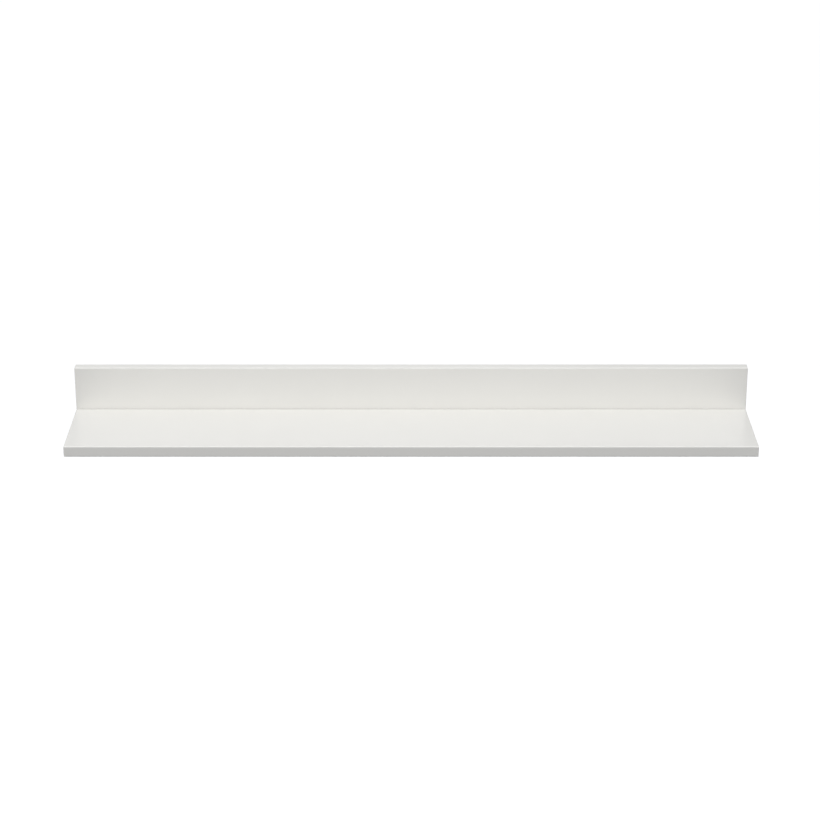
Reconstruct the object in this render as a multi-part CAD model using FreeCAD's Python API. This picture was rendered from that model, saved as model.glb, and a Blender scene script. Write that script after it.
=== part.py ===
import FreeCAD, Part
import math
import os

# Floating wall shelf: a shelf board screwed square to a low back board, hung on two wall screws.
# Millimetres. +Z is up, +X is to the right of a person who faces the shelf, and the front looks
# along -Y. The wall is the plane Y = 0. The origin lies on it, midway between the two keyhole
# hangers, at the level where the shanks of the wall screws carry them.

Vec = FreeCAD.Vector

# ---- Boards ----
shelf_width = 1100.0  # left to right, the same for both boards
shelf_reach = 162.0  # depth of the shelf board, in front of the back board
back_board_height = 90.0
board_t = 18.0  # both boards are cut from one sheet
edge_band_t = 2.0  # plastic strip glued on each of a board's four edges
edge_radius = 2.0  # rounding of the long edges
end_edge_radius = 1.0  # easing of the edges and corners at the two ends

# ---- Joint between the boards: screws from behind, with a dowel beside each ----
joint_count = 4
joint_end_distance = 70.0  # from a board's end to its outermost joint screw
joint_screw_length = 50.0
joint_screw_d = 7.0
joint_screw_root_d = 5.0
joint_screw_pitch = 3.0
joint_screw_shank = 14.0  # from the top of the head to the first thread
joint_head_d = 10.0
joint_head_inset = 0.2  # how far the heads lie below the rear face
joint_socket_width = 4.0  # across the flats of the hexagon
joint_socket_depth = 2.5
dowel_offset = 40.0  # from a joint screw to its dowel, towards the middle of the shelf
dowel_d = 8.0
dowel_length = 30.0
dowel_chamfer = 1.0
dowel_cover = 6.0  # board left between a dowel's hole and the wall

# ---- Keyhole hangers, sunk into the rear of the back board ----
hanger_end_distance = 150.0  # from a board's end to the middle of its hanger
seat_below_top = 30.0  # from the top edge down to the seats
wall_screw_head_d = 9.5  # the wall screws themselves are not part of the shelf
wall_screw_shank_d = 4.5
keyhole_clearance = 0.5  # on the diameter, round the wall screw's head and shank
keyhole_travel = 10.0  # from the round entry up to the seat
head_room_side = 2.25  # round the wall screw's head, in the pocket behind the plate
head_room_depth = 6.3  # from the plate to the floor of the pocket
plate_length = 56.0
plate_width = 20.0
plate_t = 1.5
plate_inset = 0.2  # how far a plate lies below the board's rear face
plate_clearance = 0.2  # round the plate, in its rebate
plate_screw_end_distance = 6.0  # from a plate's end to its screw
plate_screw_length = 12.0
plate_screw_d = 3.5
plate_screw_root_d = 2.3
plate_screw_pitch = 1.5
plate_screw_shank = 3.0  # from the top of the head to the first thread
plate_head_d = 6.6
cross_recess_length = 2.8  # each arm, end to end
cross_recess_width = 0.7
cross_recess_depth = 1.1

# ---- Fits ----
screw_head_rim = 0.4  # straight edge of a countersunk head, above its cone
screw_clearance = 0.05  # all round a screw, in its hole and its countersink
screw_tip_gap = 0.5  # between a screw's tip and the end of its hole
dowel_clearance = 0.05  # all round a dowel
dowel_end_gap = 0.5
overshoot = 1.0  # how far a cutting tool stands out of the face that it enters

# ---- Worked out ----
half_width = shelf_width / 2
top_z = seat_below_top
bottom_z = top_z - back_board_height
shelf_top_z = bottom_z + board_t
joint_z = bottom_z + board_t / 2
face_y = -board_t
front_y = face_y - shelf_reach
joint_spacing = (shelf_width - 2 * joint_end_distance) / (joint_count - 1)
joint_xs = [joint_end_distance - half_width + i * joint_spacing for i in range(joint_count)]
seat_z = 0.0
entry_z = seat_z - keyhole_travel
plate_z = (seat_z + entry_z) / 2
plate_outer_y = -plate_inset
plate_inner_y = plate_outer_y - plate_t
hanger_x = half_width - hanger_end_distance
plate_screw_rise = plate_length / 2 - plate_screw_end_distance


def box(low, high):
    """The solid box between two corners."""
    size = high - low
    return Part.makeBox(size.x, size.y, size.z, low)


def moved(shape, x, y, z):
    """A copy of the shape, shifted by x, y and z."""
    copy = shape.copy()
    copy.translate(Vec(x, y, z))
    return copy


def turned(profile):
    """A solid of revolution about the Y axis, from a list of (radius, y) points."""
    points = [Vec(radius, y, 0) for radius, y in profile]
    return Part.Face(Part.makePolygon(points + points[:1])).revolve(Vec(), Vec(0, 1, 0), 360)


def round_bar(radius, x, z, rear_y, end_y):
    """A cylinder along Y, from rear_y forward to end_y."""
    return Part.makeCylinder(radius, rear_y - end_y, Vec(x, end_y, z), Vec(0, 1, 0))


def oval_bar(radius, x, low_z, high_z, rear_y, end_y):
    """An upright round-ended prism along Y, as a routing bit leaves it between two heights."""
    low, high = Vec(x, end_y, low_z), Vec(x, end_y, high_z)
    side, up = Vec(radius, 0, 0), Vec(0, 0, radius)
    edges = [
        Part.Arc(high + side, high + up, high - side).toShape(),
        Part.LineSegment(high - side, low - side).toShape(),
        Part.Arc(low - side, low - up, low + side).toShape(),
        Part.LineSegment(low + side, high + side).toShape(),
    ]
    return Part.Face(Part.Wire(edges)).extrude(Vec(0, rear_y - end_y, 0))


def between(block, **limits):
    """The part of a solid between two planes across x, y or z. None stands for no plane."""
    far = 2 * shelf_width
    low, high = Vec(-far, -far, -far), Vec(far, far, far)
    for axis, (start, end) in limits.items():
        setattr(low, axis, -far if start is None else start)
        setattr(high, axis, far if end is None else end)
    return block.common(box(low, high))


def rounded_box(low, high, axis, radius):
    """A box with its edges along one axis rounded, no deeper than the bands they are milled in."""
    block = box(low, high)
    along = [e for e in block.Edges if abs(getattr(e.tangentAt(e.FirstParameter), axis)) > 0.5]
    return block.makeFillet(min(radius, edge_band_t, 0.45 * board_t), along)


def rounded_block(low, high):
    """A board's outer shape: its long edges rounded, and its ends eased both ways."""
    block = rounded_box(low, high, "x", edge_radius)
    block = block.common(rounded_box(low, high, "y", end_edge_radius))
    return block.common(rounded_box(low, high, "z", end_edge_radius))


def banded_board(name, low, high, across, low_edge, high_edge):
    """A board and its four edge bands, cut out of one rounded block.

    The bands on the two long edges run the whole length and cover the ends of the short ones.
    across is the axis from one long edge to the other.
    """
    block = rounded_block(low, high)
    ends = (low.x + edge_band_t, high.x - edge_band_t)
    edges = (getattr(low, across) + edge_band_t, getattr(high, across) - edge_band_t)
    return {
        f"{name}_board": between(block, x=ends, **{across: edges}),
        f"{name}_band_{low_edge}": between(block, **{across: (None, edges[0])}),
        f"{name}_band_{high_edge}": between(block, **{across: (edges[1], None)}),
        f"{name}_band_left": between(block, x=(None, ends[0]), **{across: edges}),
        f"{name}_band_right": between(block, x=(ends[1], None), **{across: edges}),
    }


def screw(length, head_d, thread_d, root_d, pitch, shank):
    """A countersunk screw that points forward from y = 0, the top of its head. Rings stand for
    its thread."""
    head, crest, root = head_d / 2, thread_d / 2, root_d / 2
    profile = [(0, 0), (head, 0), (head, -screw_head_rim), (crest, crest - head - screw_head_rim)]
    profile.append((crest, -shank))
    turns = int((length - shank - crest) / pitch)
    for turn in range(turns):
        start = -shank - turn * pitch
        profile += [(root, start - pitch / 2), (crest, start - pitch)]
    thread_end = -shank - turns * pitch
    profile += [(root, (thread_end - length) / 2), (0, -length)]
    return turned(profile)


def screw_hole(length, head_d, thread_d):
    """The tool that makes room for such a screw, from behind the face that its head lies in."""
    head, crest = head_d / 2 + screw_clearance, thread_d / 2 + screw_clearance
    cone_end = crest - head - screw_head_rim
    end = -length - screw_tip_gap
    return turned(
        [(0, overshoot), (head, overshoot), (head, -screw_head_rim), (crest, cone_end)]
        + [(crest, end), (0, end)]
    )


def joint_screw():
    """A joint screw with a hexagon socket in its head."""
    corner = joint_socket_width / math.sqrt(3)
    angles = [math.radians(60 * i) for i in range(7)]
    hexagon = Part.makePolygon([Vec(corner * math.cos(a), 0, corner * math.sin(a)) for a in angles])
    socket = Part.Face(hexagon).extrude(Vec(0, -joint_socket_depth, 0))
    body = screw(
        joint_screw_length,
        joint_head_d,
        joint_screw_d,
        joint_screw_root_d,
        joint_screw_pitch,
        joint_screw_shank,
    )
    return body.cut(socket)


def plate_screw():
    """A chipboard screw with a cross recess in its head."""
    body = screw(
        plate_screw_length,
        plate_head_d,
        plate_screw_d,
        plate_screw_root_d,
        plate_screw_pitch,
        plate_screw_shank,
    )
    along, aside = cross_recess_length / 2, cross_recess_width / 2
    arms = [(along, aside), (aside, along)]
    recess = [box(Vec(-x, -cross_recess_depth, -z), Vec(x, overshoot, z)) for x, z in arms]
    return body.cut(recess)


def dowel():
    """A dowel with chamfered ends, pointing forward from y = 0."""
    radius, end_radius = dowel_d / 2, dowel_d / 2 - dowel_chamfer
    profile = [(0, 0), (end_radius, 0), (radius, -dowel_chamfer)]
    profile += [(radius, dowel_chamfer - dowel_length), (end_radius, -dowel_length)]
    return turned(profile + [(0, -dowel_length)])


def add_joint(pieces, tools):
    """The screws and dowels that hold the shelf board to the back board, and their holes."""
    hole = screw_hole(joint_screw_length, joint_head_d, joint_screw_d)
    dowel_rear_y = -dowel_cover - dowel_end_gap
    dowel_hole_end = dowel_rear_y - dowel_length - dowel_end_gap
    for number, x in enumerate(joint_xs, start=1):
        pieces[f"joint_screw_{number}"] = moved(joint_screw(), x, -joint_head_inset, joint_z)
        tools.append(moved(hole, x, -joint_head_inset, joint_z))
        dowel_x = x - math.copysign(dowel_offset, x)
        pieces[f"joint_dowel_{number}"] = moved(dowel(), dowel_x, dowel_rear_y, joint_z)
        hole_radius = dowel_d / 2 + dowel_clearance
        tools.append(round_bar(hole_radius, dowel_x, joint_z, -dowel_cover, dowel_hole_end))


def add_hanger(pieces, tools, side, x):
    """A keyhole plate in its rebate, its two screws, and the pocket for the wall screw's head."""
    entry_radius = (wall_screw_head_d + keyhole_clearance) / 2
    slot_radius = (wall_screw_shank_d + keyhole_clearance) / 2
    pocket_radius = wall_screw_head_d / 2 + head_room_side
    pocket_floor_y = plate_inner_y - head_room_depth
    end_radius = plate_width / 2
    low_z = plate_z - plate_length / 2 + end_radius
    high_z = plate_z + plate_length / 2 - end_radius
    rebate_radius = end_radius + plate_clearance
    tools.append(oval_bar(rebate_radius, x, low_z, high_z, overshoot, plate_inner_y))
    tools.append(oval_bar(pocket_radius, x, entry_z, seat_z, overshoot, pocket_floor_y))
    plate = oval_bar(end_radius, x, low_z, high_z, plate_outer_y, plate_inner_y)
    through = (overshoot, plate_inner_y - overshoot)
    openings = [round_bar(entry_radius, x, entry_z, *through)]
    openings.append(oval_bar(slot_radius, x, entry_z, seat_z, *through))
    hole = screw_hole(plate_screw_length, plate_head_d, plate_screw_d)
    for place, z in (("lower", plate_z - plate_screw_rise), ("upper", plate_z + plate_screw_rise)):
        pieces[f"plate_screw_{side}_{place}"] = moved(plate_screw(), x, plate_outer_y, z)
        openings.append(moved(hole, x, plate_outer_y, z))
        tools.append(moved(hole, x, plate_outer_y, z))
    pieces[f"hanger_plate_{side}"] = plate.cut(openings)


boards = banded_board(
    "back",
    Vec(-half_width, face_y, bottom_z),
    Vec(half_width, 0, top_z),
    "z",
    "bottom",
    "top",
)
boards |= banded_board(
    "shelf",
    Vec(-half_width, front_y, bottom_z),
    Vec(half_width, face_y, shelf_top_z),
    "y",
    "front",
    "rear",
)
fittings, hole_tools = {}, []
add_joint(fittings, hole_tools)
add_hanger(fittings, hole_tools, "left", -hanger_x)
add_hanger(fittings, hole_tools, "right", hanger_x)
pieces = {name: board.cut(hole_tools) for name, board in boards.items()} | fittings

os.makedirs("parts", exist_ok=True)
for name, piece in pieces.items():
    if len(piece.Solids) != 1 or not piece.isValid():
        raise ValueError(f"{name} is not one sound solid")
    piece.Solids[0].exportStep(f"parts/{name}.step")
    print(f"{name}: {piece.Volume / 1000:.2f} cm3")
print(f"{len(pieces)} pieces, {shelf_width:g} x {-front_y:g} x {top_z - bottom_z:g} mm")
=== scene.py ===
# %% [markdown]
# # A white floating wall shelf
#
# The real shelf is two boards of white particleboard, screwed together into an L, with plastic
# strips glued round their edges. Two keyhole plates sunk into its back hang it on two wall screws,
# so from the front nothing seems to hold it.
#
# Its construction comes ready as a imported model, piece by piece and at real size. This lesson
# gives each piece the surface and the fine edges that the eye looks for, and then sets up the
# light, the floor and the camera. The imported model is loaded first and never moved: every new
# piece takes its place and its size from it.

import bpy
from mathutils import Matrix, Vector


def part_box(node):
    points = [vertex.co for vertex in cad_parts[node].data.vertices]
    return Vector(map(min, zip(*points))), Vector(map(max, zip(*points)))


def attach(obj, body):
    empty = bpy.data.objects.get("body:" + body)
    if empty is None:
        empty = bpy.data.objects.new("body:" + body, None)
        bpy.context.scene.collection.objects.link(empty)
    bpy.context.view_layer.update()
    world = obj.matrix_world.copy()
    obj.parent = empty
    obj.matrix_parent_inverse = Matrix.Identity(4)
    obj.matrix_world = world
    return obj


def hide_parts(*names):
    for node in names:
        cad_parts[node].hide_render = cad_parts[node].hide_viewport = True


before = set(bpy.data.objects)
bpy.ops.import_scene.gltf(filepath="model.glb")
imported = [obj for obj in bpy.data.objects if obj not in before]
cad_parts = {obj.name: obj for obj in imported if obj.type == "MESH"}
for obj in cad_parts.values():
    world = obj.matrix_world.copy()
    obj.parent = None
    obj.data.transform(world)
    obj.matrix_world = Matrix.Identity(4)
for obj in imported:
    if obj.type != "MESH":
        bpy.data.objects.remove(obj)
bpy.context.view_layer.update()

# %% [markdown]
# ## Measuring the model
#
# All sizes are in metres, as Blender's are, so a millimetre has a name. A box round each node says
# where its piece lies. The faces that the later cells build on are named once, here: the wall is
# the plane y = 0, and the front of the shelf looks along -Y.

# %% The faces that everything else is placed by
import math

import bmesh
import bpy
from mathutils import Matrix, Vector

MM = 0.001
scene = bpy.context.scene


def centre(node):
    """The middle of a node's box."""
    low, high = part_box(node)
    return (low + high) / 2


def size(node):
    """The width, depth and height of a node's box."""
    low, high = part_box(node)
    return high - low


face_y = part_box("back_board")[0].y
shelf_top_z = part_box("shelf_board")[1].z
shelf_low_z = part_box("shelf_board")[0].z
shelf_end_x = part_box("shelf_band_right")[1].x
edge_band_t = size("back_band_top").z
print(f"boards {-face_y / MM:.1f} mm thick, edge bands {edge_band_t / MM:.1f} mm")

# %% [markdown]
# ## Node trees that read like sums
#
# Geometry Nodes and materials are both trees of nodes. They could be wired by hand in the editor,
# but a script can be read, changed and run again. Three small helpers keep it short. `feed` gives a
# socket its value, `add` makes a node with its inputs, and `Rule` is a number inside a tree that
# can be added and multiplied with plain signs, so that the rule of a thread fits on a few lines.


# %% Helpers that build any node tree
def feed(tree, value, socket):
    """Gives a socket its value: a rule, the output of another node, or a plain value."""
    if isinstance(value, Rule):
        value = value.socket
    if isinstance(value, bpy.types.NodeSocket):
        tree.links.new(value, socket)
    else:
        socket.default_value = value


def add(tree, kind, inputs=None, **settings):
    """Makes a node, sets its settings, and feeds its inputs by name or by number."""
    node = tree.nodes.new(kind)
    for name, value in settings.items():
        setattr(node, name, value)
    for name, value in (inputs or {}).items():
        feed(tree, value, node.inputs[name])
    return node


class Rule:
    """A number that flows through a node tree, for use in plain sums."""

    def __init__(self, tree, socket):
        self.tree = tree
        self.socket = socket

    def math(self, operation, *others, clamp=False):
        """Sends this number and the others through a Math node."""
        terms = dict(enumerate((self, *others)))
        node = add(self.tree, "ShaderNodeMath", terms, operation=operation, use_clamp=clamp)
        return Rule(self.tree, node.outputs[0])

    def __add__(self, other):
        return self.math("ADD", other)

    def __sub__(self, other):
        return self.math("SUBTRACT", other)

    def __mul__(self, other):
        return self.math("MULTIPLY", other)

    def __truediv__(self, other):
        return self.math("DIVIDE", other)

    def __mod__(self, other):
        return self.math("FLOORED_MODULO", other)

    def __rsub__(self, other):
        return self * -1.0 + other

    __radd__ = __add__
    __rmul__ = __mul__

    def clamped(self):
        """This number, held between 0 and 1."""
        return self.math("ADD", 0.0, clamp=True)

    def least(self, other):
        return self.math("MINIMUM", other)

    def most(self, other):
        return self.math("MAXIMUM", other)

    def cosine(self):
        return self.math("COSINE")

    def sine(self):
        return self.math("SINE")


# %% [markdown]
# ## Running a Geometry Nodes tree
#
# A tree gets named inputs for its sizes, so one tree serves every piece of its kind. `grown` puts
# it on a new object as a modifier and sets each input by its socket's identifier, because that is
# how the modifier stores them. It then keeps the result as a plain mesh. Each tree ends in Realize
# Instances and Set Material, so nothing is left that only Blender understands.


# %% Helpers that make and run a Geometry Nodes tree
def new_tree(name, *sizes, takes_mesh=False, takes_object=False):
    """A Geometry Nodes tree with named sizes, and the node that hands its inputs out."""
    tree = bpy.data.node_groups.new(name, "GeometryNodeTree")
    tree.interface.new_socket("Result", in_out="OUTPUT", socket_type="NodeSocketGeometry")
    kinds = {size_name: "NodeSocketFloat" for size_name in sizes}
    kinds |= {"Geometry": "NodeSocketGeometry"} if takes_mesh else {}
    kinds |= {"Object": "NodeSocketObject"} if takes_object else {}
    kinds["Material"] = "NodeSocketMaterial"
    for socket_name, kind in kinds.items():
        tree.interface.new_socket(socket_name, in_out="INPUT", socket_type=kind)
    entry = tree.nodes.new("NodeGroupInput")
    return tree, entry.outputs, [Rule(tree, entry.outputs[size_name]) for size_name in sizes]


def end_tree(tree, geometry, material):
    """Closes a tree: instances become real, and the faces get their material."""
    real = add(tree, "GeometryNodeRealizeInstances", {"Geometry": geometry})
    painted = add(tree, "GeometryNodeSetMaterial", {"Geometry": real.outputs[0], "Material": material})
    add(tree, "NodeGroupOutput", {"Result": painted.outputs[0]})
    return tree


def settled(obj):
    """Applies all of an object's modifiers, so that its mesh is plain."""
    shown = obj.evaluated_get(bpy.context.evaluated_depsgraph_get())
    obj.data = bpy.data.meshes.new_from_object(shown)
    obj.data.name = obj.name
    obj.modifiers.clear()
    return obj


def new_object(name, mesh=None):
    """An object in the scene, with the given mesh or an empty one."""
    obj = bpy.data.objects.new(name, mesh or bpy.data.meshes.new(name))
    scene.collection.objects.link(obj)
    return obj


def grown(name, tree, sizes, mesh=None):
    """Runs a tree with these inputs and returns an object that holds the result."""
    obj = new_object(name, mesh)
    modifier = obj.modifiers.new(tree.name, "NODES")
    modifier.node_group = tree
    for item in tree.interface.items_tree:
        if item.in_out == "INPUT" and item.name in sizes:
            modifier[item.identifier] = sizes[item.name]
    return settled(obj)


# %% [markdown]
# ## A tube whose points know their place
#
# Most pieces here are a stack of rings: an edge band, a plate, a screw, a dowel. So one helper
# makes a closed tube of square faces and gives two rules, the number of a point's ring and the
# number of its column. A tree then moves each point by its own formula. Points that land on each
# other, as at a corner with no radius, are merged, which closes the seams and the poles.

# %% The tube that the shapes start from
merge_distance = 0.001 * MM
half_pi = math.pi / 2


def tube(tree, rings, columns):
    """A closed tube in a tree, with the rules that number its rings and its columns."""
    line = add(tree, "GeometryNodeMeshLine", {"Count": rings, "Offset": (0.0, 0.0, 1.0)})
    spine = add(tree, "GeometryNodeMeshToCurve", {"Mesh": line.outputs[0]})
    circle = add(tree, "GeometryNodeCurvePrimitiveCircle", {"Resolution": columns})
    curves = {"Curve": spine.outputs[0], "Profile Curve": circle.outputs[0], "Fill Caps": True}
    skin = add(tree, "GeometryNodeCurveToMesh", curves)
    index = Rule(tree, add(tree, "GeometryNodeInputIndex").outputs[0])
    return skin.outputs[0], (index / columns).math("FLOOR"), index % columns


def shaped(tree, mesh, x, y, z):
    """Moves the tube's points to a place worked out by three rules, and merges those that meet."""
    place = add(tree, "ShaderNodeCombineXYZ", {"X": x, "Y": y, "Z": z}).outputs[0]
    moved = add(tree, "GeometryNodeSetPosition", {"Geometry": mesh, "Position": place})
    ends = {"Geometry": moved.outputs[0], "Distance": merge_distance}
    return add(tree, "GeometryNodeMergeByDistance", ends).outputs[0]


# %% [markdown]
# ## Plates with rounded corners and edges
#
# An edge band is a 2 mm strip of plastic. The machine that glues it on also mills its long edges
# round, so light draws a bright line along each edge, and a file eases the ends. A Bevel modifier
# could round one edge, but the same form also fits the hanger plates and the cutters for pockets
# and holes, so it is one tree: rings of a rounded rectangle that pull in as they climb. The lowest
# ring is pulled in by a hair, which leaves the fine seam where a strip meets its board.

# %% The tree for a rounded plate
arc_steps = 16  # flat stretches in each quarter of a circle


def rounded_plate_tree():
    """A plate from z = 0 up to its thickness, with rounded corners and a rounded upper edge."""
    tree, inputs, sizes = new_tree(
        "Rounded plate",
        "Length",
        "Width",
        "Thickness",
        "Corner Radius",
        "Edge Radius",
        "End Radius",
        "Seam",
    )
    length, width, thickness, corner_radius, edge_radius, end_radius, seam = sizes
    corner_points = arc_steps + 1
    mesh, ring, column = tube(tree, arc_steps + 3, 4 * corner_points)
    quarter = (column / corner_points).math("FLOOR")
    angle = (quarter + (column % corner_points) / arc_steps) * half_pi
    diagonal = (quarter + 0.5) * half_pi
    climb = ((ring - 2.0) / arc_steps).clamped() * half_pi
    side_z = (thickness - edge_radius + edge_radius * climb.sine()).most(seam)
    z = seam * ring.clamped() + (side_z - seam) * (ring - 1.0).clamped()
    hair = seam * (1.0 - ring.clamped())
    inset_y = edge_radius * (1.0 - climb.cosine()) + hair
    end_climb = ((z - thickness + end_radius) / end_radius).clamped()
    inset_x = end_radius * (1.0 - (1.0 - end_climb * end_climb).math("SQRT")) + hair
    reach_x, reach_y = corner_radius.most(inset_x), corner_radius.most(inset_y)
    x = diagonal.cosine().math("SIGN") * (length / 2.0 - reach_x)
    y = diagonal.sine().math("SIGN") * (width / 2.0 - reach_y)
    x = x + (reach_x - inset_x) * angle.cosine()
    y = y + (reach_y - inset_y) * angle.sine()
    return end_tree(tree, shaped(tree, mesh, x, y, z), inputs["Material"])


plate_tree = rounded_plate_tree()
print(plate_tree.name, "has", len(plate_tree.nodes), "nodes")

# %% [markdown]
# ## Screws: a radius that follows a rule
#
# A wood screw is a bar whose radius changes on the way down: a flat head, a 45 degree cone, a smooth
# neck, a thread and a blunt tip. It could be a swept profile, but a thread is a helix, and a rule
# says that best: a point lies on the crest where its depth, counted in turns, equals its angle,
# counted in turns. With as many rings to a turn as columns, each crest point falls on a mesh point,
# and the faces are split along the crest, so it stays sharp without a dense mesh. The same tree
# without a thread is the drill bit for the screw's hole.

# %% The tree for a screw or its drill bit
screw_columns = 32
ridge_share = 0.3  # of a turn, from a ridge's crest to its foot


def screw_tree():
    """A screw that points along -Y, with the top of its head at y = 0."""
    tree, inputs, sizes = new_tree(
        "Screw",
        "Head Radius",
        "Rim",
        "Body Radius",
        "Neck",
        "Root Radius",
        "Pitch",
        "Rows",
        "Row Step",
        "Tip Radius",
        "Tip Slope",
    )
    head, rim, body, neck, root, pitch, rows, step, tip, slope = sizes
    cone = head - body
    mesh, ring, column = tube(tree, rows + 4.0, screw_columns)
    depth = rim * ring.clamped() + cone * (ring - 1.0).clamped()
    threaded = step * (ring - 3.0).most(0.0)
    depth = depth + (neck - rim - cone) * (ring - 2.0).clamped() + threaded
    turns = (threaded / pitch - column / screw_columns) % 1.0
    from_crest = turns.least(1.0 - turns)
    groove = (from_crest / ridge_share).clamped() * (threaded / pitch).clamped()
    radius = head - cone * (ring - 1.0).clamped() - (body - root) * groove
    left = neck + rows * step - depth
    radius = radius.least(tip + left * slope)
    angle = column * (2 * math.pi / screw_columns)
    skin = shaped(tree, mesh, radius * angle.cosine(), depth * -1.0, radius * angle.sine())
    split = {"quad_method": "FIXED", "ngon_method": "BEAUTY"}
    faces = add(tree, "GeometryNodeTriangulate", {"Mesh": skin}, **split)
    return end_tree(tree, faces.outputs[0], inputs["Material"])


bar_tree = screw_tree()
print(bar_tree.name, "has", len(bar_tree.nodes), "nodes")

# %% [markdown]
# ## Dowels with fluted sides
#
# A beech dowel is pressed with fine grooves along it, which let the glue and the air past. Its
# radius follows an even simpler rule: a cosine with as many waves as there are flutes, which fades
# out at the chamfered ends.

# %% The tree for a fluted dowel
flutes = 20
flute_columns = 6  # mesh columns across each flute


def dowel_tree():
    """A dowel that points along -Y from y = 0."""
    names = ("Length", "Radius", "Chamfer", "Flute Depth")
    tree, inputs, (length, radius, chamfer, flute_depth) = new_tree("Fluted dowel", *names)
    columns = flutes * flute_columns
    mesh, ring, column = tube(tree, 4, columns)
    depth = chamfer * ring.clamped() + (length - 2.0 * chamfer) * (ring - 1.0).clamped()
    depth = depth + chamfer * (ring - 2.0).clamped()
    angle = column * (2 * math.pi / columns)
    on_side = ring.clamped() * (3.0 - ring).clamped()
    wave = 0.5 - 0.5 * (angle * flutes).cosine()
    reach = radius - chamfer * (1.0 - on_side) - flute_depth * wave
    skin = shaped(tree, mesh, reach * angle.cosine(), depth * -1.0, reach * angle.sine())
    return end_tree(tree, skin, inputs["Material"])


peg_tree = dowel_tree()
print(peg_tree.name, "has", len(peg_tree.nodes), "nodes")

# %% [markdown]
# ## Setting pieces out where the model has them
#
# Screws, dowels and plates repeat. Each is made once, at the origin, and then instanced on points
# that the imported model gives, so the count and the spacing are never typed again. Copying the object
# in a loop would do too. Instancing in a tree keeps one shape, and realizing the copies at the end
# gives a single plain mesh.


# %% The tree that sets copies out, and the points for it
def set_out_tree():
    """One copy of an object on each point of the mesh that the tree runs on."""
    tree, inputs, _ = new_tree("Set out", takes_mesh=True, takes_object=True)
    model = add(tree, "GeometryNodeObjectInfo", {"Object": inputs["Object"]})
    wanted = {"Points": inputs["Geometry"], "Instance": model.outputs["Geometry"]}
    copies = add(tree, "GeometryNodeInstanceOnPoints", wanted)
    return end_tree(tree, copies.outputs[0], inputs["Material"])


copies_tree = set_out_tree()


def set_out(name, model, places, material=None):
    """Copies of the model at these places, as one object. The model itself is removed."""
    points = bpy.data.meshes.new(name)
    points.from_pydata(places, [], [])
    copies = grown(name, copies_tree, {"Object": model, "Material": material}, points)
    bpy.data.objects.remove(model)
    return copies


def rear_middle(node):
    """The point at the middle of a node's rearmost side, where its piece starts."""
    low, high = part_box(node)
    return Vector(((low.x + high.x) / 2, high.y, (low.z + high.z) / 2))


def nodes_named(start):
    """The names of all nodes that begin alike, in order."""
    return sorted(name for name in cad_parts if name.startswith(start))


screw_nodes = nodes_named("joint_screw")
dowel_nodes = nodes_named("joint_dowel")
plate_nodes = nodes_named("hanger_plate")
plate_screw_nodes = nodes_named("plate_screw")
print("found", screw_nodes, dowel_nodes, plate_nodes, plate_screw_nodes)

# %% [markdown]
# ## Finishing a piece
#
# A cut leaves sharp edges and large flat faces side by side with narrow round ones. Faces are
# shaded smooth, except across edges that turn sharply. A Weighted Normal modifier then lets the
# large faces rule, so that a board's flat side stays flat to the eye right up to its rounded edge.


# %% Helpers that cut, place and finish a mesh
def cut(obj, *tools):
    """Takes the tools' shapes out of an object."""
    for tool in tools:
        modifier = obj.modifiers.new(f"cut_{tool.name}", "BOOLEAN")
        modifier.operation = "DIFFERENCE"
        modifier.solver = "EXACT"
        modifier.use_self = True
        modifier.object = tool
    return settled(obj)


def facing(direction, along, origin):
    """The placement that turns +Z to a direction and +X along another, and moves to a point."""
    up, forward = Vector(direction), Vector(along)
    turn = Matrix((forward, up.cross(forward), up)).transposed().to_4x4()
    return Matrix.Translation(origin) @ turn


sharp_angle = math.radians(35)


def finish(obj, body_slot, *replaced):
    """Shades a piece, and ties it to the model: it rides, and stands for its CAD nodes."""
    obj.data.shade_smooth()
    obj.data.set_sharp_from_angle(angle=sharp_angle)
    weights = obj.modifiers.new("even_shading", "WEIGHTED_NORMAL")
    weights.keep_sharp = True
    settled(obj)
    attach(obj, "root")
    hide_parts(*replaced)
    print(f"{obj.name}: {len(obj.data.polygons)} faces")
    return obj


# %% [markdown]
# ## White melamine on particleboard
#
# The boards are pressed chips with a thin white foil on both faces. The foil is satin: it has a
# very fine pearl texture that softens reflections, and it is a touch warm. In the holes and the
# pockets the raw chips show. Two materials could be given face by face, but the foil is simply the
# outer 0.2 mm of the board, so the material asks how deep a point lies and shows chips below that.

# %% Materials: helpers
white = (0.868, 0.856, 0.815, 1.0)
satin = 0.22  # roughness of the foil


def new_material(name):
    """A material with its node tree and its shader."""
    material = bpy.data.materials.new(name)
    material.use_nodes = True
    return material, material.node_tree, material.node_tree.nodes["Principled BSDF"]


def stretched(tree, scale):
    """Object coordinates in metres, multiplied along each axis."""
    coordinates = add(tree, "ShaderNodeTexCoord").outputs["Object"]
    return add(tree, "ShaderNodeMapping", {"Vector": coordinates, "Scale": scale}).outputs[0]


def noise(tree, scale, detail=2.0, roughness=0.5, distortion=0.0):
    """A cloudy pattern between 0 and 1. The scale is in features to the metre, along each axis."""
    inputs = {"Vector": stretched(tree, scale), "Scale": 1.0, "Detail": detail}
    inputs |= {"Roughness": roughness, "Distortion": distortion}
    return Rule(tree, add(tree, "ShaderNodeTexNoise", inputs).outputs["Fac"])


def even(count):
    """The same number of features to the metre along each axis."""
    return (count, count, count)


def spread(tree, value, low, high, start=0.3, stop=0.7):
    """Maps a pattern from start to stop onto low to high."""
    ends = {"Value": value, "From Min": start, "From Max": stop, "To Min": low, "To Max": high}
    return Rule(tree, add(tree, "ShaderNodeMapRange", ends).outputs[0])


def mixed(tree, share, first, second):
    """A colour between two others."""
    inputs = {"Factor": share, 6: first, 7: second}
    return add(tree, "ShaderNodeMix", inputs, data_type="RGBA").outputs[2]


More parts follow.
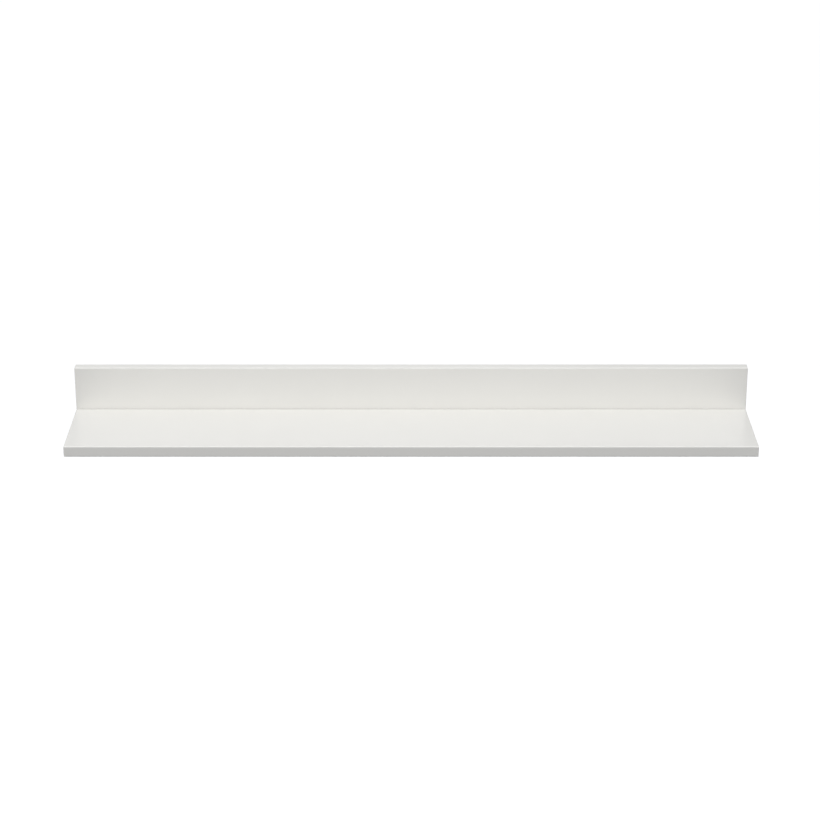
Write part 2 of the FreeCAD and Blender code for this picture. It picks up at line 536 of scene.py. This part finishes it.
def bump(tree, height, strength, distance):
    """A normal that tilts with a pattern's height."""
    inputs = {"Height": height, "Strength": strength, "Distance": distance}
    return add(tree, "ShaderNodeBump", inputs).outputs[0]


def tinted(colour, share):
    """A colour with its channels multiplied by a share."""
    return (*(channel * share for channel in colour[:3]), 1.0)


# %% Materials: the boards
foil_t = 0.2 * MM
clouds_per_metre = 9.0
pearls_per_metre = 2600.0
chip_light = (0.55, 0.40, 0.25, 1.0)
chip_dark = (0.24, 0.15, 0.08, 1.0)
chips_per_metre = (350.0, 350.0, 700.0)
crumbs_per_metre = 1500.0


def board_material(name, axis, low, high):
    """White foil on a board's two faces, and raw chips deeper in."""
    material, tree, shader = new_material(name)
    coordinates = add(tree, "ShaderNodeTexCoord").outputs["Object"]
    split = add(tree, "ShaderNodeSeparateXYZ", {0: coordinates})
    across = Rule(tree, split.outputs[axis])
    depth = (across - low).least(high - across)
    chips = spread(tree, depth, 0.0, 1.0, foil_t, 1.5 * foil_t)

    cloud = noise(tree, even(clouds_per_metre), detail=3.0)
    foil = mixed(tree, spread(tree, cloud, 0.0, 1.0), tinted(white, 0.992), white)
    flakes = {"Vector": stretched(tree, chips_per_metre), "Scale": 1.0}
    cells = add(tree, "ShaderNodeTexVoronoi", flakes)
    crumbs = noise(tree, even(crumbs_per_metre), detail=4.0)
    shade = Rule(tree, cells.outputs["Distance"]) + crumbs - 0.4
    raw = mixed(tree, shade.clamped(), chip_light, chip_dark)
    feed(tree, mixed(tree, chips, foil, raw), shader.inputs["Base Color"])

    pearl = noise(tree, even(pearls_per_metre), detail=1.0)
    gloss = satin + 0.05 * cloud + chips * 0.5
    feed(tree, gloss, shader.inputs["Roughness"])
    fine = bump(tree, pearl * (1.0 - chips) * 0.04 + shade * chips, 0.5, 0.25 * MM)
    feed(tree, fine, shader.inputs["Normal"])
    return material


# %% [markdown]
# ## Edge bands in white plastic
#
# The bands are the same white as the foil, a shade glossier, and their milled edges keep very fine
# lines along the strip from the scraper. A noise that is squeezed across the strip and stretched
# along it makes those lines. Each band gets the direction of its own run. Only the rear band of the
# shelf board differs: in the groove where it meets the back board it is painted dark, a fraction of
# a millimetre down, as painted shade for the shaded joint, and the joint reads as a fine line.

# %% Materials: the edge bands
band_gloss = 0.22
# Painted shade: the dark colour that the rear band of the shelf board takes in the shaded groove.
groove_shade_colour = (0.36, 0.34, 0.31, 1.0)
shade_start_depth, full_shade_depth = 0.2 * MM, 0.5 * MM  # below the shelf board's faces
unshaded_end = 1.0 * MM  # more that stays free of the painted shade at the two ends
lines_across, lines_along = 1800.0, 6.0  # scraper lines to the metre


def band_material(name, run, in_groove):
    """White plastic with faint scraper lines along the axis number run, and painted shade in a groove.
    """
    material, tree, shader = new_material(name)
    lines = [lines_across] * 3
    lines[run] = lines_along
    scraped = noise(tree, tuple(lines), detail=2.0)
    cloud = noise(tree, even(7.0), detail=2.0)
    colour = mixed(tree, spread(tree, cloud, 0.0, 1.0), tinted(white, 0.99), white)
    # Painted shade: the rear band darkens from 0.2 mm to 0.5 mm below the shelf board's faces, where
    # the groove is shaded.
    if in_groove:
        coordinates = add(tree, "ShaderNodeTexCoord").outputs["Object"]
        split = add(tree, "ShaderNodeSeparateXYZ", {0: coordinates})
        height = Rule(tree, split.outputs["Z"])
        from_end = shelf_end_x - unshaded_end - Rule(tree, split.outputs["X"]).math("ABSOLUTE")
        depth = (height - shelf_low_z).least(shelf_top_z - height).least(from_end)
        share = spread(tree, depth, 0.0, 1.0, shade_start_depth, full_shade_depth)
        colour = mixed(tree, share, colour, groove_shade_colour)
    feed(tree, colour, shader.inputs["Base Color"])
    feed(tree, band_gloss + 0.06 * scraped, shader.inputs["Roughness"])
    feed(tree, bump(tree, scraped, 0.05, 0.05 * MM), shader.inputs["Normal"])
    return material


# %% [markdown]
# ## Zinc-plated steel, and beech
#
# The plates and the screws are steel with a thin, bluish zinc coat. Up close it is mottled and a
# little brushed. A metal has no colour of its own but that of its reflection, so the colour varies
# only slightly and the roughness does most of the work.
#
# The dowels are beech, a pale wood with a fine grain and short dark flecks. A picture of wood could
# be wrapped round them. Two noises, stretched along the dowel, run through the wood as the real
# grain does, so the ends match the sides.

# %% Materials: zinc and beech
zinc_light = (0.50, 0.515, 0.54, 1.0)
zinc_dark = (0.34, 0.355, 0.385, 1.0)
spangles_per_metre = 420.0
brush_strokes = (4000.0, 4000.0, 160.0)  # to the metre, along each axis


def zinc_material():
    """Mottled, faintly brushed zinc."""
    material, tree, shader = new_material("zinc_plated_steel")
    shader.inputs["Metallic"].default_value = 1.0
    spangle = noise(tree, even(spangles_per_metre), detail=3.0, roughness=0.6, distortion=0.6)
    brushed = noise(tree, brush_strokes, detail=2.0)
    share = spread(tree, spangle, 0.0, 1.0)
    feed(tree, mixed(tree, share, zinc_dark, zinc_light), shader.inputs["Base Color"])
    feed(tree, 0.28 + 0.12 * spangle + 0.08 * brushed, shader.inputs["Roughness"])
    feed(tree, bump(tree, brushed + 0.5 * spangle, 0.08, 0.05 * MM), shader.inputs["Normal"])
    return material


beech_light = (0.62, 0.43, 0.27, 1.0)
beech_dark = (0.45, 0.28, 0.15, 1.0)
grain_lines = (900.0, 40.0, 900.0)  # to the metre, along each axis
fleck_lines = (2600.0, 350.0, 2600.0)


def beech_material():
    """Beech with its grain and its short dark flecks along Y."""
    material, tree, shader = new_material("beech_wood")
    grain = noise(tree, grain_lines, detail=4.0, distortion=0.4)
    flecks = noise(tree, fleck_lines, detail=1.0)
    share = spread(tree, grain, 0.0, 0.8) + spread(tree, flecks, 0.0, 0.6, 0.6, 0.75)
    feed(tree, mixed(tree, share.clamped(), beech_light, beech_dark), shader.inputs["Base Color"])
    shader.inputs["Roughness"].default_value = 0.62
    feed(tree, bump(tree, grain + flecks, 0.3, 0.05 * MM), shader.inputs["Normal"])
    return material


zinc = zinc_material()
beech = beech_material()
print("made", zinc.name, "and", beech.name)

# %% [markdown]
# ## The eight edge bands
#
# On each board the long bands run over the ends of the short ones. Their long edges are rounded as
# deep as the band is thick, and at the rear of the shelf board that groove, with the painted shade on
# the rear band, makes the fine dark line where the two boards meet. At the ends of the shelf all
# edges are only eased. Each band faces one way and runs along another. The rounded plate tree makes
# it flat on its back, and one matrix stands it in its place.

# %% The eight edge bands
long_radius = edge_band_t
end_radius = 1.0 * MM
seam = 0.1 * MM

band_directions = {
    "back_band_top": ((0, 0, 1), (1, 0, 0)),
    "back_band_bottom": ((0, 0, -1), (1, 0, 0)),
    "back_band_left": ((-1, 0, 0), (0, 0, 1)),
    "back_band_right": ((1, 0, 0), (0, 0, 1)),
    "shelf_band_front": ((0, -1, 0), (1, 0, 0)),
    "shelf_band_rear": ((0, 1, 0), (1, 0, 0)),
    "shelf_band_left": ((-1, 0, 0), (0, 1, 0)),
    "shelf_band_right": ((1, 0, 0), (0, 1, 0)),
}


def edge_band(node, outward, along):
    """A band with its inner side on the board and its outer side facing outward."""
    up, forward = Vector(outward), Vector(along)
    extent, middle = size(node), centre(node)
    length = abs(extent.dot(forward))
    thickness = abs(extent.dot(up))
    width = abs(extent.dot(up.cross(forward)))
    is_long = forward.x == 1.0
    run = [abs(part) for part in along].index(1)
    plastic = band_material(f"white_plastic_{node}", run, in_groove=node == "shelf_band_rear")
    sizes = {
        "Length": length,
        "Width": width,
        "Thickness": thickness,
        "Corner Radius": end_radius if is_long else 0.0,
        "Edge Radius": long_radius if is_long else end_radius,
        "End Radius": end_radius if is_long else 0.0,
        "Seam": seam,
        "Material": plastic,
    }
    band = grown(f"{node}_strip", plate_tree, sizes)
    band.data.transform(facing(outward, along, middle - up * thickness / 2))
    return band


bands = {node: edge_band(node, *ways) for node, ways in band_directions.items()}
print(len(bands), "bands")

# %% [markdown]
# ## The tools that bore the boards
#
# In the workshop the holes are drilled before the shelf is screwed together: a countersunk hole for
# each screw, a blind hole for each dowel, and in the back a shallow rebate for each hanger plate over
# a deeper pocket for the head of the wall screw. The same set of bits is made here as meshes and cut
# out of the boards, so a hole in one board lines up with its other half in the next.

# %% The drill bits and router cuts
hole_gap = 0.05 * MM  # all round a screw or a dowel
end_gap = 0.5 * MM  # beyond a screw's tip or a dowel's end
overshoot = 1.0 * MM  # how far a bit stands out of the rear face
head_rim = 0.4 * MM


def drill_bit(name, nodes, head_d, body_d):
    """The countersunk bits for a set of screws."""
    length = size(nodes[0]).y + end_gap + overshoot
    head, body = head_d / 2 + hole_gap, body_d / 2 + hole_gap
    rim = head_rim + overshoot
    neck = rim + head - body
    sizes = {
        "Head Radius": head,
        "Rim": rim,
        "Body Radius": body,
        "Neck": neck + end_gap,
        "Root Radius": body,
        "Pitch": 1.0,
        "Rows": 1.0,
        "Row Step": length - neck - end_gap,
        "Tip Radius": body,
        "Tip Slope": 1.0,
    }
    bit = grown(f"{name}_bit", bar_tree, sizes)
    places = [rear_middle(node) + Vector((0, overshoot, 0)) for node in nodes]
    return set_out(f"{name}_bits", bit, places)


def router_cut(name, places, width, height, rear_y, end_y):
    """Round-ended cuts along Y, from rear_y forward to end_y, at these places."""
    sizes = {
        "Length": height,
        "Width": width,
        "Thickness": rear_y - end_y,
        "Corner Radius": width / 2,
        "Edge Radius": 0.0,
        "End Radius": 0.0,
        "Seam": 0.0,
    }
    bit = grown(f"{name}_bit", plate_tree, sizes)
    bit.data.transform(facing((0, -1, 0), (0, 0, 1), (0, rear_y, 0)))
    return set_out(f"{name}_cuts", bit, places)


joint_head_d = size(screw_nodes[0]).x
joint_body_d = 7.0 * MM
plate_head_d = size(plate_screw_nodes[0]).x
plate_body_d = 3.5 * MM
joint_bits = drill_bit("joint", screw_nodes, joint_head_d, joint_body_d)
pilot_bits = drill_bit("pilot", plate_screw_nodes, plate_head_d, plate_body_d)

dowel_low, dowel_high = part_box(dowel_nodes[0])
dowel_d = dowel_high.x - dowel_low.x
dowel_places = [Vector((centre(node).x, 0, centre(node).z)) for node in dowel_nodes]
dowel_hole_d = dowel_d + 2 * hole_gap
dowel_ends = (dowel_high.y + end_gap, dowel_low.y - end_gap)
dowel_bits = router_cut("dowel", dowel_places, dowel_hole_d, dowel_hole_d, *dowel_ends)
print(f"dowel holes {dowel_hole_d / MM:.1f} mm across, {-dowel_ends[1] / MM:.1f} mm from the wall")

# %% The rebates and pockets for the hangers
keyhole_travel = 10.0 * MM
entry_d = 10.0 * MM
slot_width = 5.0 * MM
rebate_gap = 0.2 * MM
pocket_width = 14.0 * MM
pocket_floor_y = -8.0 * MM

plate_size = size(plate_nodes[0])
plate_outer_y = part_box(plate_nodes[0])[1].y
plate_inner_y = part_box(plate_nodes[0])[0].y
plate_places = [Vector((centre(node).x, 0, centre(node).z)) for node in plate_nodes]
rebate_width = plate_size.x + 2 * rebate_gap
rebate_height = plate_size.z + 2 * rebate_gap
rebates = router_cut(
    "rebate", plate_places, rebate_width, rebate_height, overshoot, plate_inner_y
)
pocket_height = pocket_width + keyhole_travel
pockets = router_cut(
    "pocket", plate_places, pocket_width, pocket_height, overshoot, pocket_floor_y
)
print(f"rebates {rebate_height / MM:.1f} mm high, pockets {-pocket_floor_y / MM:.1f} mm deep")

# %% [markdown]
# ## The two boards
#
# Each board is a plain block with a hair of chamfer, so that a fine seam shows beside its bands.
# The cuts do the rest. The rear band of the shelf board is bored too, since the screws and dowels
# pass through it.


# %% Cut the boards to size and bore them
def board(node, material):
    """A board's core, the size of its node, with a hair of chamfer on its edges."""
    low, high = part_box(node)
    shape = bmesh.new()
    bmesh.ops.create_cube(shape, size=1.0)
    bmesh.ops.scale(shape, vec=high - low, verts=shape.verts)
    bmesh.ops.translate(shape, vec=(low + high) / 2, verts=shape.verts)
    bmesh.ops.bevel(shape, geom=shape.edges, offset=seam, segments=1, affect="EDGES")
    panel = new_object(f"{node}_panel")
    shape.to_mesh(panel.data)
    shape.free()
    panel.data.materials.append(material)
    return panel


back_foil = board_material("melamine_back_board", "Y", face_y, 0.0)
shelf_foil = board_material("melamine_shelf_board", "Z", shelf_low_z, shelf_top_z)
back_panel = cut(
    board("back_board", back_foil), joint_bits, dowel_bits, rebates, pockets, pilot_bits
)
shelf_panel = cut(board("shelf_board", shelf_foil), joint_bits, dowel_bits)
bands["shelf_band_rear"] = cut(bands["shelf_band_rear"], joint_bits, dowel_bits)

finish(back_panel, "white_board", "back_board")
finish(shelf_panel, "white_board", "shelf_board")
for node, band in bands.items():
    finish(band, "white_edging", node)

# %% [markdown]
# ## The hanger plates
#
# A keyhole plate is stamped from sheet steel. The head of the wall screw goes in at the round entry,
# and the plate drops until the shank sits at the top of the slot. The blank is the rounded plate
# tree once more. The entry, the slot and the two countersunk holes are cut out of it, and a narrow
# Bevel takes the knife edge off, as stamping and plating do.

# %% Stamp the hanger plates
stamp_round = 0.15 * MM  # edges after stamping and plating
seat_z = 0.0
entry_z = seat_z - keyhole_travel
plate_middle = centre(plate_nodes[0])


def through_cut(name, width, low_z, high_z):
    """A round-ended cut through a plate that lies round x = 0, between two heights."""
    place = Vector((0, 0, (low_z + high_z) / 2))
    height = width + high_z - low_z
    ends = (overshoot, plate_inner_y - overshoot)
    return router_cut(name, [place], width, height, *ends)


def hanger_plate():
    """One plate round x = 0, at its own depth and height."""
    sizes = {
        "Length": plate_size.z,
        "Width": plate_size.x,
        "Thickness": plate_size.y,
        "Corner Radius": plate_size.x / 2,
        "Edge Radius": 0.0,
        "End Radius": 0.0,
        "Seam": 0.0,
    }
    plate = grown("plate_blank", plate_tree, sizes)
    rear = Vector((0, plate_inner_y, plate_middle.z))
    plate.data.transform(facing((0, 1, 0), (0, 0, 1), rear))
    entry = through_cut("entry", entry_d, entry_z, entry_z)
    slot = through_cut("slot", slot_width, entry_z, seat_z)
    pilot_bits.data.transform(Matrix.Translation((-plate_middle.x, 0, 0)))
    cut(plate, entry, slot, pilot_bits)
    for tool in (entry, slot):
        bpy.data.objects.remove(tool)
    edges = plate.modifiers.new("stamped_edges", "BEVEL")
    edges.width = stamp_round
    edges.segments = 2
    edges.limit_method = "ANGLE"
    edges.angle_limit = sharp_angle
    return settled(plate)


hangers = set_out(
    "hanger_plates", hanger_plate(), [Vector((centre(node).x, 0, 0)) for node in plate_nodes], zinc
)
finish(hangers, "zinc_steel", *plate_nodes)

for tool in (joint_bits, pilot_bits, dowel_bits, rebates, pockets):
    bpy.data.objects.remove(tool)

# %% [markdown]
# ## The screws and the dowels
#
# The joint screws have a hexagon socket, and the small plate screws a cross. Each recess is a prism
# that narrows a little towards its floor, as the punch that makes it does. The recess is cut while
# there is one screw, and the copies follow. The dowels need no cut: their tree gives the whole peg.


# %% Make the recess punches
def punch(name, outline, depth, taper):
    """A prism that enters a screw's head: its outline at the top, and narrower at its floor."""
    shape = bmesh.new()
    top = [shape.verts.new((x, overshoot, z)) for x, z in outline]
    low = [shape.verts.new((x * taper, -depth, z * taper)) for x, z in outline]
    shape.faces.new(top)
    shape.faces.new(reversed(low))
    for i in range(len(outline)):
        after = (i + 1) % len(outline)
        shape.faces.new((top[i], low[i], low[after], top[after]))
    bmesh.ops.recalc_face_normals(shape, faces=shape.faces)
    tool = new_object(name)
    shape.to_mesh(tool.data)
    shape.free()
    return tool


def hexagon(across_flats):
    """The corners of a hexagon with one on +X."""
    reach = across_flats / math.sqrt(3)
    return [(reach * math.cos(i * math.pi / 3), reach * math.sin(i * math.pi / 3)) for i in range(6)]


def cross(along, aside):
    """The corners of a cross with four arms, each this long and half this wide."""
    quarter = [(along, -aside), (along, aside), (aside, aside)]
    corners = []
    for i in range(4):
        turn = Matrix.Rotation(i * half_pi, 2)
        corners += [tuple(turn @ Vector(corner)) for corner in quarter]
    return corners


hex_punch = punch("hex_punch", hexagon(across_flats=4.0 * MM), depth=2.5 * MM, taper=0.96)
cross_outline = cross(along=1.4 * MM, aside=0.35 * MM)
cross_punch = punch("cross_punch", cross_outline, depth=1.1 * MM, taper=0.7)
print("punches with", len(hexagon(1.0)), "and", len(cross_outline), "corners")


# %% Turn the screws and set them out
def screws(name, nodes, head_d, body_d, root_d, pitch, neck, tip_d, recess):
    """All screws of one kind, as one object."""
    length = size(nodes[0]).y
    rows = round((length - neck) / pitch * screw_columns)
    sizes = {
        "Head Radius": head_d / 2,
        "Rim": head_rim,
        "Body Radius": body_d / 2,
        "Neck": neck,
        "Root Radius": root_d / 2,
        "Pitch": pitch,
        "Rows": float(rows),
        "Row Step": (length - neck) / rows,
        "Tip Radius": tip_d / 2,
        "Tip Slope": 0.6,
    }
    screw = cut(grown(f"{name}_one", bar_tree, sizes), recess)
    bpy.data.objects.remove(recess)
    places = [rear_middle(node) for node in nodes]
    return finish(set_out(name, screw, places, zinc), "zinc_steel", *nodes)


screws(
    "joint_screws",
    screw_nodes,
    head_d=joint_head_d,
    body_d=joint_body_d,
    root_d=5.0 * MM,
    pitch=3.0 * MM,
    neck=14.0 * MM,
    tip_d=1.0 * MM,
    recess=hex_punch,
)
screws(
    "plate_screws",
    plate_screw_nodes,
    head_d=plate_head_d,
    body_d=plate_body_d,
    root_d=2.3 * MM,
    pitch=1.5 * MM,
    neck=3.0 * MM,
    tip_d=0.3 * MM,
    recess=cross_punch,
)

dowel_sizes = {
    "Length": size(dowel_nodes[0]).y,
    "Radius": dowel_d / 2,
    "Chamfer": 1.0 * MM,
    "Flute Depth": 0.25 * MM,
}
one_dowel = grown("dowel_one", peg_tree, dowel_sizes)
pegs = set_out("joint_dowels", one_dowel, [rear_middle(node) for node in dowel_nodes], beech)
finish(pegs, "beech", *dowel_nodes)

# %% [markdown]
# ## The camera
#
# The shelf is seen from a little above, through a long lens: the back board's sides stand almost
# upright, and the front edge is only slightly wider than the back. A lens and a distance are fixed
# by those two widths. The camera is placed so that the line where the boards meet falls on the
# right height of the picture.

# %% Place the camera
picture_size = 820  # pixels, wide and high
focal_pixels = 2383
look_down = math.radians(21.6)
joint_distance = 3.916  # metres in front of the lens, along its axis
joint_column, joint_row = 411.1, 408.9  # pixels, where the middle of the joint line falls

forward = Vector((0, math.cos(look_down), -math.sin(look_down)))
upward = Vector((0, math.sin(look_down), math.cos(look_down)))
to_side = (joint_column - picture_size / 2) * joint_distance / focal_pixels
to_top = (picture_size / 2 - joint_row) * joint_distance / focal_pixels
joint_middle = Vector((0, face_y, shelf_top_z))

camera = bpy.data.objects.new("camera", bpy.data.cameras.new("camera"))
scene.collection.objects.link(camera)
scene.camera = camera
camera.data.sensor_width = 36.0  # millimetres
camera.data.lens = focal_pixels / picture_size * camera.data.sensor_width
camera.location = joint_middle - joint_distance * forward - to_top * upward - Vector((to_side, 0, 0))
camera.rotation_euler = (half_pi - look_down, 0, 0)
camera.data.clip_end = 100.0
print(f"a {camera.data.lens:.1f} mm lens at", [round(x, 3) for x in camera.location])

# %% [markdown]
# ## Light, floor and background
#
# The shelf hangs in plain white, with soft light from all round and a little more from above the
# camera. A bright dome gives most of it, and its front half is a little brighter. To the eye, and
# in reflections, the sky and the floor are white, but they send the shelf only a plain amount of
# light. Light Path tells the two apart, so white paint stays white paint and doesn't burn out.

# %% The world
dome_front, dome_rear = 0.72, 0.60  # brightness of its two halves
low_light = 0.09
dome_colour = (0.985, 0.998, 1.03, 1.0)


def seen_directly(tree):
    """1 for a ray from the camera, off a glossy face or through glass, and 0 for other rays."""
    path = add(tree, "ShaderNodeLightPath").outputs
    camera_ray = Rule(tree, path["Is Camera Ray"])
    return camera_ray.most(path["Is Glossy Ray"]).most(path["Is Transmission Ray"])


world = bpy.data.worlds.new("soft_studio")
scene.world = world
world.use_nodes = True
sky = world.node_tree
sky.nodes.clear()
direction = add(sky, "ShaderNodeTexCoord").outputs["Generated"]
split = add(sky, "ShaderNodeSeparateXYZ", {0: direction})
upper = spread(sky, split.outputs["Y"], dome_front, dome_rear, -0.1, 0.1)
dome = spread(sky, split.outputs["Z"], low_light, upper, -0.1, 0.1)
light = add(sky, "ShaderNodeBackground", {"Color": dome_colour, "Strength": dome})
plain = add(sky, "ShaderNodeBackground", {"Color": (1.0, 1.0, 1.0, 1.0), "Strength": 1.0})
shares = {0: seen_directly(sky), 1: light.outputs[0], 2: plain.outputs[0]}
add(sky, "ShaderNodeOutputWorld", {"Surface": add(sky, "ShaderNodeMixShader", shares).outputs[0]})
print(f"a dome of {dome_front} in front, {dome_rear} behind and {low_light} below")

# %% [markdown]
# ## Softboxes
#
# One large lamp above the camera draws the highlights on the rounded edges and makes the shelf top
# brighter than its front. A sun would do that too, but its shadows have hard edges. Four weaker
# lamps keep the back, the ends and the underside from going grey. They show in no reflection, so
# they add no highlights of their own.


# %% Hang the softboxes
softbox_sides = (2.4, 1.4)


def softbox(name, share, towards, distance):
    """A large lamp in this direction. A share of 1 makes a white face square to it look white."""
    data = bpy.data.lights.new(name, "AREA")
    data.shape = "RECTANGLE"
    data.size, data.size_y = softbox_sides
    data.energy = share * (math.pi * distance) ** 2
    lamp = bpy.data.objects.new(name, data)
    scene.collection.objects.link(lamp)
    lamp.location = joint_middle + distance * towards.normalized()
    lamp.rotation_euler = towards.to_track_quat("Z", "Y").to_euler()
    lamp.visible_camera = False
    print(f"{name} of {data.energy:.1f} W")
    return lamp


softbox("softbox_above", share=0.41, towards=Vector((-0.06, -0.53, 0.85)), distance=2.6)
for fill in (
    softbox("softbox_behind", share=0.20, towards=Vector((0.0, 1.0, 0.1)), distance=2.6),
    softbox("softbox_left", share=0.12, towards=Vector((-1.0, 0.45, 0.05)), distance=2.6),
    softbox("softbox_right", share=0.12, towards=Vector((1.0, 0.45, 0.05)), distance=2.6),
    softbox("softbox_below", share=0.38, towards=Vector((0.0, 0.4, -0.9)), distance=1.8),
):
    fill.visible_glossy = False

# %% [markdown]
# ## The floor and a dim cloth
#
# The floor lies far below the shelf and takes its faint shadow. Behind the shelf stands a dim cloth
# that only reflections see. At a shallow angle even satin foil is a mirror: without the cloth the
# shelf top and the top edge would reflect the white room, and look brighter than paint can be.

# %% The floor and the cloth
floor_z = -2.0
floor_reach = 30.0
floor_paint = 0.8
floor_bounce = 0.10
floor_glow = 0.50


def card(name, corners):
    """A flat four-cornered card that is part of the stage."""
    mesh = bpy.data.meshes.new(name)
    mesh.from_pydata(corners, [], [(0, 1, 2, 3)])
    obj = new_object(name, mesh)
    return obj


def grey(value):
    return (value, value, value, 1.0)


def floor_material():
    """White to the eye, with the shelf's shadow, and dim to the shelf."""
    material = bpy.data.materials.new("studio_floor")
    material.use_nodes = True
    tree = material.node_tree
    tree.nodes.clear()
    dim = add(tree, "ShaderNodeBsdfDiffuse", {"Color": grey(floor_bounce)})
    paint = add(tree, "ShaderNodeBsdfDiffuse", {"Color": grey(floor_paint)})
    glow = add(tree, "ShaderNodeEmission", {"Color": grey(1.0), "Strength": floor_glow})
    bright = add(tree, "ShaderNodeAddShader", {0: paint.outputs[0], 1: glow.outputs[0]})
    shares = {0: seen_directly(tree), 1: dim.outputs[0], 2: bright.outputs[0]}
    surface = add(tree, "ShaderNodeMixShader", shares)
    add(tree, "ShaderNodeOutputMaterial", {"Surface": surface.outputs[0]})
    return material


floor = card(
    "floor",
    [
        (-floor_reach, -floor_reach, floor_z),
        (floor_reach, -floor_reach, floor_z),
        (floor_reach, floor_reach, floor_z),
        (-floor_reach, floor_reach, floor_z),
    ],
)
floor.data.materials.append(floor_material())

cloth_half_width = 1.6
cloth_y = 1.5
cloth_low_z, cloth_high_z = -0.05, 1.6
cloth_left, cloth_middle, cloth_right = 0.26, 0.33, 0.05  # brightness


def cloth_material():
    """A dim cloth, brightest in its middle."""
    material = bpy.data.materials.new("dim_cloth")
    material.use_nodes = True
    tree = material.node_tree
    tree.nodes.clear()
    coordinates = add(tree, "ShaderNodeTexCoord").outputs["Object"]
    across = add(tree, "ShaderNodeSeparateXYZ", {0: coordinates}).outputs["X"]
    left = spread(tree, across, cloth_left, cloth_middle, -0.5, -0.1)
    right = spread(tree, across, 0.0, cloth_middle - cloth_right, 0.1, 0.5)
    glow = add(tree, "ShaderNodeEmission", {"Color": grey(1.0), "Strength": left - right})
    add(tree, "ShaderNodeOutputMaterial", {"Surface": glow.outputs[0]})
    return material


cloth = card(
    "dim_cloth",
    [
        (-cloth_half_width, cloth_y, cloth_low_z),
        (cloth_half_width, cloth_y, cloth_low_z),
        (cloth_half_width, cloth_y, cloth_high_z),
        (-cloth_half_width, cloth_y, cloth_high_z),
    ],
)
cloth.data.materials.append(cloth_material())
cloth.visible_camera = False
cloth.visible_diffuse = False
cloth.visible_transmission = False
cloth.visible_shadow = False
print(f"floor {-floor_z:.1f} m below the hangers, cloth {cloth_y:.1f} m behind the wall plane")

# %% [markdown]
# ## Colours as they are
#
# The Standard view transform shows a colour as it is written.

# %% Finish
scene.view_settings.view_transform = "Standard"
